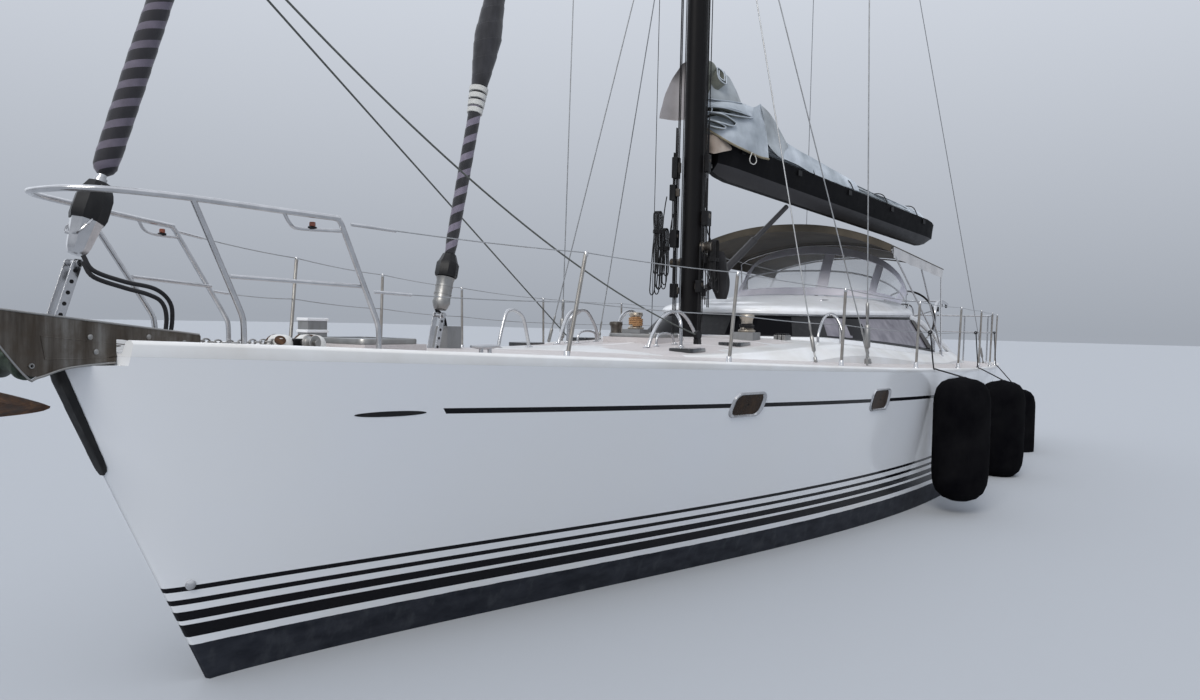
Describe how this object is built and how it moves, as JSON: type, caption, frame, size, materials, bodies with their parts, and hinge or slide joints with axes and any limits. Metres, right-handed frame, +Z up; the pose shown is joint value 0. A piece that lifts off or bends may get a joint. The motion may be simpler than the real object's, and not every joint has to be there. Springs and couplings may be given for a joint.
{
  "type": "sailing yacht",
  "caption": "Cutter-rigged deck-saloon sailing yacht afloat, sails furled, boom eased to port, with sprayhood, bimini, twin wheels and turning gear.",
  "frame": {"origin": "on the centreline at the waterline, halfway between the stem head and the transom's foot", "axes": "+X to the bow, +Y to port, +Z up"},
  "size_m": [19.1724, 5.6432, 26.536],
  "materials": {
    "hull_paint": "glossy white topsides with dark bands at the waterline",
    "deck_gelcoat": "off-white moulded deck, semi-gloss",
    "dark_glazing": "dark tinted acrylic, polished",
    "antifouling": "matt blue-black bottom paint",
    "bronze": "dull bronze",
    "mast_paint": "gloss black",
    "boom_paint": "satin charcoal",
    "mainsail_cloth": "pale sailcloth, worn",
    "headsail_cloth": "dark sun cover cloth",
    "aged_steel": "tarnished stainless steel",
    "polished_steel": "polished stainless steel",
    "roller_rubber": "hard rubber",
    "rusty_iron": "galvanised iron gone rusty",
    "windlass_casting": "weathered casting",
    "sprayhood_cloth": "light grey acrylic canvas",
    "bimini_cloth": "dark olive-grey canvas",
    "fender_cloth": "black knitted cover"
  },
  "bodies": {
    "hull": {"hull": "hull_paint", "deck": "deck_gelcoat", "coachroof": "deck_gelcoat", "cockpit_tub": "deck_gelcoat", "deckhouse": "deck_gelcoat", "deckhouse_roof": "deck_gelcoat", "windscreen_port": "dark_glazing", "windscreen_starboard": "dark_glazing", "side_window_port": "dark_glazing", "side_window_starboard": "dark_glazing", "keel": "antifouling", "shaft_strut": "bronze", "mast": "mast_paint", "shrouds_port": "polished_steel", "shrouds_starboard": "polished_steel", "backstay": "polished_steel", "genoa_tack_link": "polished_steel", "staysail_tack_link": "polished_steel", "pulpit": "polished_steel", "stern_rail": "polished_steel", "lifelines_port": "polished_steel", "lifelines_starboard": "polished_steel", "stem_fitting": "aged_steel", "anchor": "rusty_iron", "windlass": "windlass_casting", "mast_guard_port": "polished_steel", "mast_guard_starboard": "polished_steel", "mast_winch_port": "polished_steel", "mast_winch_starboard": "polished_steel", "cockpit_winch_port": "polished_steel", "cockpit_winch_starboard": "polished_steel", "bow_cleat_port": "polished_steel", "bow_cleat_starboard": "polished_steel", "stern_cleat_port": "polished_steel", "stern_cleat_starboard": "polished_steel", "pedestal_port": "deck_gelcoat", "pedestal_starboard": "deck_gelcoat", "sprayhood": "sprayhood_cloth", "bimini": "bimini_cloth", "bimini_frame": "polished_steel", "fender_1": "fender_cloth", "fender_2": "fender_cloth", "fender_3": "fender_cloth"},
    "boom": {"boom": "boom_paint", "boom_vang": "boom_paint", "furled_mainsail": "mainsail_cloth"},
    "rudder": {"rudder": "antifouling"},
    "wheel_port": {"wheel_port": "polished_steel"},
    "wheel_starboard": {"wheel_starboard": "polished_steel"},
    "propeller": {"propeller": "bronze"},
    "genoa_furler": {"furled_genoa": "headsail_cloth", "genoa_drum": "polished_steel"},
    "staysail_furler": {"furled_staysail": "headsail_cloth", "staysail_drum": "polished_steel"},
    "fore_hatch": {"fore_hatch_lid": "dark_glazing"},
    "middle_hatch": {"middle_hatch_lid": "dark_glazing"},
    "companionway_hatch": {"companionway_hatch": "dark_glazing"},
    "anchor_roller": {"anchor_roller": "roller_rubber"}
  },
  "joints": [
    {"name": "boom_swing", "type": "hinge", "parent": "hull", "child": "boom", "pos_m": [1.25, 0, 3.76], "axis": [0, 0, 1], "range_deg": [-50, 70]},
    {"name": "rudder_turn", "type": "hinge", "parent": "hull", "child": "rudder", "pos_m": [-7.6, 0, 0], "axis": [0, 0, 1], "range_deg": [-35, 35]},
    {"name": "wheel_port_turn", "type": "hinge", "parent": "hull", "child": "wheel_port", "pos_m": [-5.4, 0.93, 2.2], "axis": [1, 0, 0], "range_deg": [-430, 430]},
    {"name": "wheel_starboard_turn", "type": "hinge", "parent": "hull", "child": "wheel_starboard", "pos_m": [-5.4, -0.93, 2.2], "axis": [1, 0, 0], "range_deg": [-430, 430]},
    {"name": "propeller_spin", "type": "hinge", "parent": "hull", "child": "propeller", "pos_m": [-5.78, 0, -0.91425], "axis": [-0.9915, 0, -0.1301], "continuous": true},
    {"name": "genoa_furl", "type": "hinge", "parent": "hull", "child": "genoa_furler", "pos_m": [8.87, 0, 1.86], "axis": [-0.3084, 0, 0.9513], "continuous": true},
    {"name": "staysail_furl", "type": "hinge", "parent": "hull", "child": "staysail_furler", "pos_m": [6.09, 0, 1.83], "axis": [-0.2377, 0, 0.9713], "continuous": true},
    {"name": "fore_hatch_open", "type": "hinge", "parent": "hull", "child": "fore_hatch", "pos_m": [7.065, 0, 1.895], "axis": [0, 1, 0], "range_deg": [0, 100]},
    {"name": "middle_hatch_open", "type": "hinge", "parent": "hull", "child": "middle_hatch", "pos_m": [3.035, 0, 1.925], "axis": [0, 1, 0], "range_deg": [0, 95]},
    {"name": "companionway_slide", "type": "slide", "parent": "hull", "child": "companionway_hatch", "axis": [1, 0, 0], "range_m": [0, 0.6]},
    {"name": "anchor_roller_turn", "type": "hinge", "parent": "hull", "child": "anchor_roller", "pos_m": [9.02, 0, 1.772], "axis": [0, 1, 0], "continuous": true}
  ],
  "couplings": [
    {"joint": "wheel_port_turn", "follows": "rudder_turn", "ratio": 12},
    {"joint": "wheel_starboard_turn", "follows": "rudder_turn", "ratio": 12}
  ]
}
